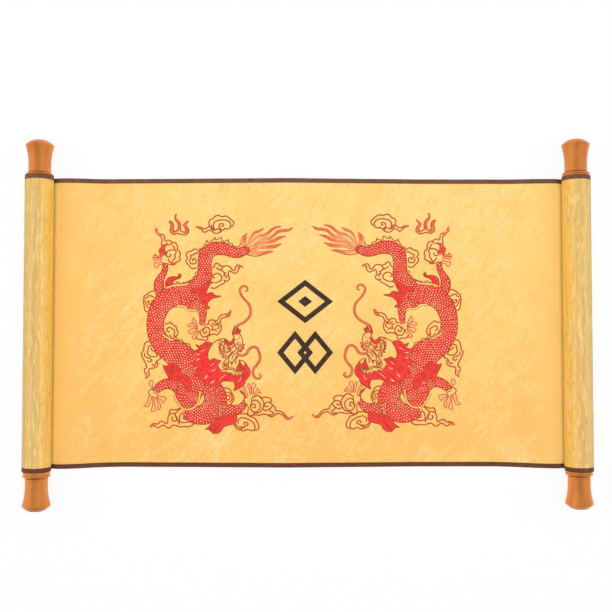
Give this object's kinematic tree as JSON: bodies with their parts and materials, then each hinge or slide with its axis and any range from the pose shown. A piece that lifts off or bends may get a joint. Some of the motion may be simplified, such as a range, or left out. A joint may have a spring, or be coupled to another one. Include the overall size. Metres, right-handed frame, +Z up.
{
  "type": "hand scroll",
  "caption": "Hand scroll lying open and face up, both ends still wound on rods with turned knobs, printed with two facing dragons, clouds and a pair of dark ornaments",
  "frame": {"origin": "on the table, under the middle of the whole scroll with its rods", "axes": "+X along the open scroll, +Y along the rods towards the top of the writing, +Z up from the table"},
  "size_m": [0.5418, 0.3548, 0.0274],
  "materials": {
    "face_paper": "golden yellow silk-finish paper with a faint woven cloud pattern",
    "brocade": "pale gold satin brocade with fine lengthwise threads",
    "edge_strip": "dark brown silk strip folded over the edge",
    "red_ink": "red printing ink on paper",
    "brown_ink": "dark brown printing ink on paper",
    "rod_wood": "turned wood under the same copper paint as the knobs at its ends",
    "knob_paint": "satin copper paint on turned wood"
  },
  "bodies": {
    "root": {"face_paper": "face_paper", "backing_brocade": "brocade", "edge_binding_top": "edge_strip", "edge_binding_bottom": "edge_strip", "dragon_print_left": "red_ink", "dragon_print_right": "red_ink", "ornament_print_upper": "brown_ink", "ornament_print_lower": "brown_ink", "rod_left": "rod_wood", "rod_right": "rod_wood", "knobs_left": "knob_paint", "knobs_right": "knob_paint"}
  },
  "joints": []
}
